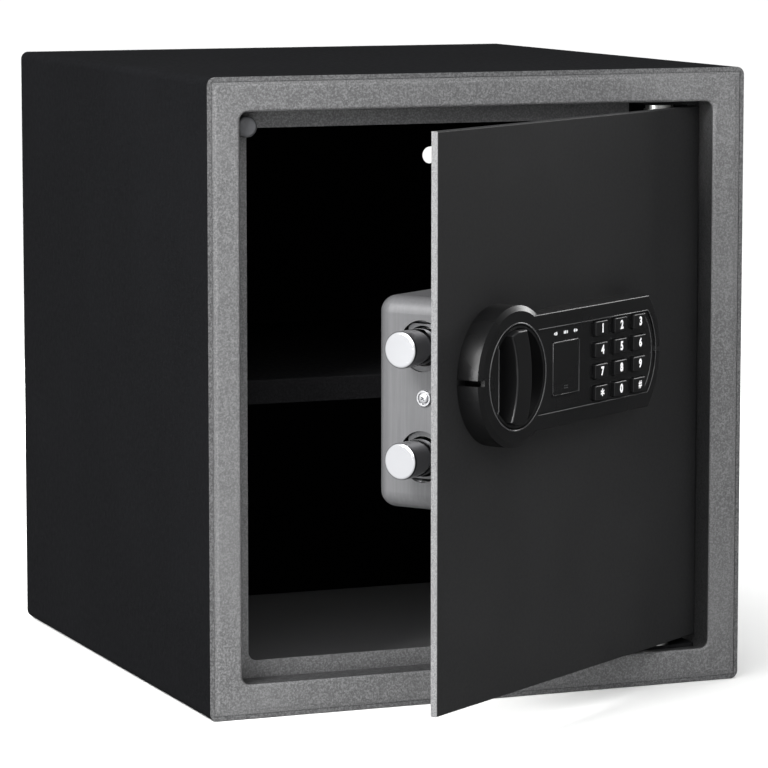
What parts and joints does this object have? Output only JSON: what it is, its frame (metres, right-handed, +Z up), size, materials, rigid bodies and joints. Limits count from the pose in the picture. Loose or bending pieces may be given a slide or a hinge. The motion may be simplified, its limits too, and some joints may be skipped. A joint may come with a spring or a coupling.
{
  "type": "electronic safe",
  "caption": "Black electronic home safe with a plate door standing ajar, keypad face, turning knob, sliding bolts behind the door and a lift-out shelf.",
  "frame": {"origin": "middle of the base, on the surface the safe stands on", "axes": "+X to the right seen from the front, +Y towards the back panel, +Z up"},
  "size_m": [0.33, 0.4898, 0.36],
  "materials": {
    "cabinet_paint": "fine textured powder coat",
    "inside_paint": "matte black powder coat",
    "frame_paint": "speckled dark grey powder coat",
    "door_paint": "smooth matte black powder coat",
    "case_paint": "satin grey paint",
    "zinc": "zinc plated",
    "steel": "machined steel",
    "bolt_chrome": "polished chrome plate",
    "rubber": "moulded rubber",
    "felt": "dark grey felt",
    "face_plastic": "satin moulded plastic",
    "key_plastic": "satin moulded plastic with white legends",
    "light_lens": "clear lens",
    "board": "green solder mask",
    "black_plastic": "moulded plastic",
    "cell_wrap": "printed sleeve, no text",
    "brass": "turned brass",
    "red_plastic": "moulded plastic"
  },
  "bodies": {
    "cabinet": {"body_shell": "cabinet_paint", "back_panel": "cabinet_paint", "front_frame": "frame_paint", "stop_bumper": "rubber", "shelf": "inside_paint", "shelf_rail_left": "inside_paint", "shelf_rail_right": "inside_paint", "floor_mat": "felt", "hinge_bracket_top": "zinc", "hinge_bracket_bottom": "zinc", "hinge_pins": "steel", "hinge_washers": "zinc"},
    "door": {"door_plate": "door_paint", "hinge_lug_top": "zinc", "hinge_lug_bottom": "zinc", "escutcheon": "face_plastic", "escutcheon_screws": "zinc", "keypad_panel": "face_plastic", "status_lights": "light_lens", "key_mat": "rubber", "circuit_board": "board", "buzzer": "black_plastic", "spindle_bush": "brass", "override_barrel": "steel", "lock_case": "case_paint", "case_posts": "steel", "case_screws": "zinc", "side_screw": "steel", "bolt_guide": "zinc", "solenoid": "zinc", "plunger_spring": "steel", "batteries": "cell_wrap", "battery_tray": "black_plastic"},
    "knob": {"knob": "face_plastic", "knob_spindle": "steel", "knob_cam": "steel", "drive_pin": "steel"},
    "bolts": {"bolt_upper": "bolt_chrome", "bolt_lower": "bolt_chrome", "bolt_carriage": "zinc", "bolt_screws": "zinc"},
    "key_1": {"key_1": "key_plastic"},
    "key_2": {"key_2": "key_plastic"},
    "key_3": {"key_3": "key_plastic"},
    "key_4": {"key_4": "key_plastic"},
    "key_5": {"key_5": "key_plastic"},
    "key_6": {"key_6": "key_plastic"},
    "key_7": {"key_7": "key_plastic"},
    "key_8": {"key_8": "key_plastic"},
    "key_9": {"key_9": "key_plastic"},
    "key_star": {"key_star": "key_plastic"},
    "key_0": {"key_0": "key_plastic"},
    "key_hash": {"key_hash": "key_plastic"},
    "override_cover": {"override_cover": "face_plastic"},
    "override_plug": {"override_plug": "brass", "override_lever": "steel"},
    "plunger": {"solenoid_plunger": "steel"},
    "battery_cover": {"battery_cover": "black_plastic"},
    "reset_button": {"reset_button": "red_plastic"}
  },
  "joints": [
    {"name": "door_hinge", "type": "hinge", "parent": "cabinet", "child": "door", "pos_m": [0.118, -0.158, 0.18], "axis": [0, 0, 1], "range_deg": [-34.5, 55.5]},
    {"name": "knob_turn", "type": "hinge", "parent": "door", "child": "knob", "pos_m": [-0.03274, -0.29618, 0.2027], "axis": [0.5664, -0.8241, 0], "range_deg": [0, 60.1]},
    {"name": "bolt_slide", "type": "slide", "parent": "door", "child": "bolts", "axis": [-0.8241, -0.5664, 0], "range_m": [0, 0.013]},
    {"name": "key_1_press", "type": "slide", "parent": "door", "child": "key_1", "axis": [-0.5664, 0.8241, 0], "range_m": [0, 0.001], "stiffness_N_per_m": 300},
    {"name": "key_2_press", "type": "slide", "parent": "door", "child": "key_2", "axis": [-0.5664, 0.8241, 0], "range_m": [0, 0.001], "stiffness_N_per_m": 300},
    {"name": "key_3_press", "type": "slide", "parent": "door", "child": "key_3", "axis": [-0.5664, 0.8241, 0], "range_m": [0, 0.001], "stiffness_N_per_m": 300},
    {"name": "key_4_press", "type": "slide", "parent": "door", "child": "key_4", "axis": [-0.5664, 0.8241, 0], "range_m": [0, 0.001], "stiffness_N_per_m": 300},
    {"name": "key_5_press", "type": "slide", "parent": "door", "child": "key_5", "axis": [-0.5664, 0.8241, 0], "range_m": [0, 0.001], "stiffness_N_per_m": 300},
    {"name": "key_6_press", "type": "slide", "parent": "door", "child": "key_6", "axis": [-0.5664, 0.8241, 0], "range_m": [0, 0.001], "stiffness_N_per_m": 300},
    {"name": "key_7_press", "type": "slide", "parent": "door", "child": "key_7", "axis": [-0.5664, 0.8241, 0], "range_m": [0, 0.001], "stiffness_N_per_m": 300},
    {"name": "key_8_press", "type": "slide", "parent": "door", "child": "key_8", "axis": [-0.5664, 0.8241, 0], "range_m": [0, 0.001], "stiffness_N_per_m": 300},
    {"name": "key_9_press", "type": "slide", "parent": "door", "child": "key_9", "axis": [-0.5664, 0.8241, 0], "range_m": [0, 0.001], "stiffness_N_per_m": 300},
    {"name": "key_star_press", "type": "slide", "parent": "door", "child": "key_star", "axis": [-0.5664, 0.8241, 0], "range_m": [0, 0.001], "stiffness_N_per_m": 300},
    {"name": "key_0_press", "type": "slide", "parent": "door", "child": "key_0", "axis": [-0.5664, 0.8241, 0], "range_m": [0, 0.001], "stiffness_N_per_m": 300},
    {"name": "key_hash_press", "type": "slide", "parent": "door", "child": "key_hash", "axis": [-0.5664, 0.8241, 0], "range_m": [0, 0.001], "stiffness_N_per_m": 300},
    {"name": "override_cover_pull", "type": "slide", "parent": "door", "child": "override_cover", "axis": [0.5664, -0.8241, 0], "range_m": [0, 0.02]},
    {"name": "override_turn", "type": "hinge", "parent": "door", "child": "override_plug", "pos_m": [0.00739, -0.26436, 0.2027], "axis": [0.5664, -0.8241, 0], "range_deg": [0, 90]},
    {"name": "plunger_slide", "type": "slide", "parent": "door", "child": "plunger", "axis": [0, 0, 1], "range_m": [-0.003, 0], "stiffness_N_per_m": 150, "springref_m": 0.003, "deforming": ["plunger_spring"]},
    {"name": "battery_cover_slide", "type": "slide", "parent": "door", "child": "battery_cover", "axis": [0.8241, 0.5664, 0], "range_m": [0, 0.009]},
    {"name": "reset_press", "type": "slide", "parent": "door", "child": "reset_button", "axis": [0.5664, -0.8241, 0], "range_m": [0, 0.0012], "stiffness_N_per_m": 300}
  ],
  "couplings": [
    {"joint": "knob_turn", "follows": "bolt_slide", "rad_per_m": 80.554}
  ]
}
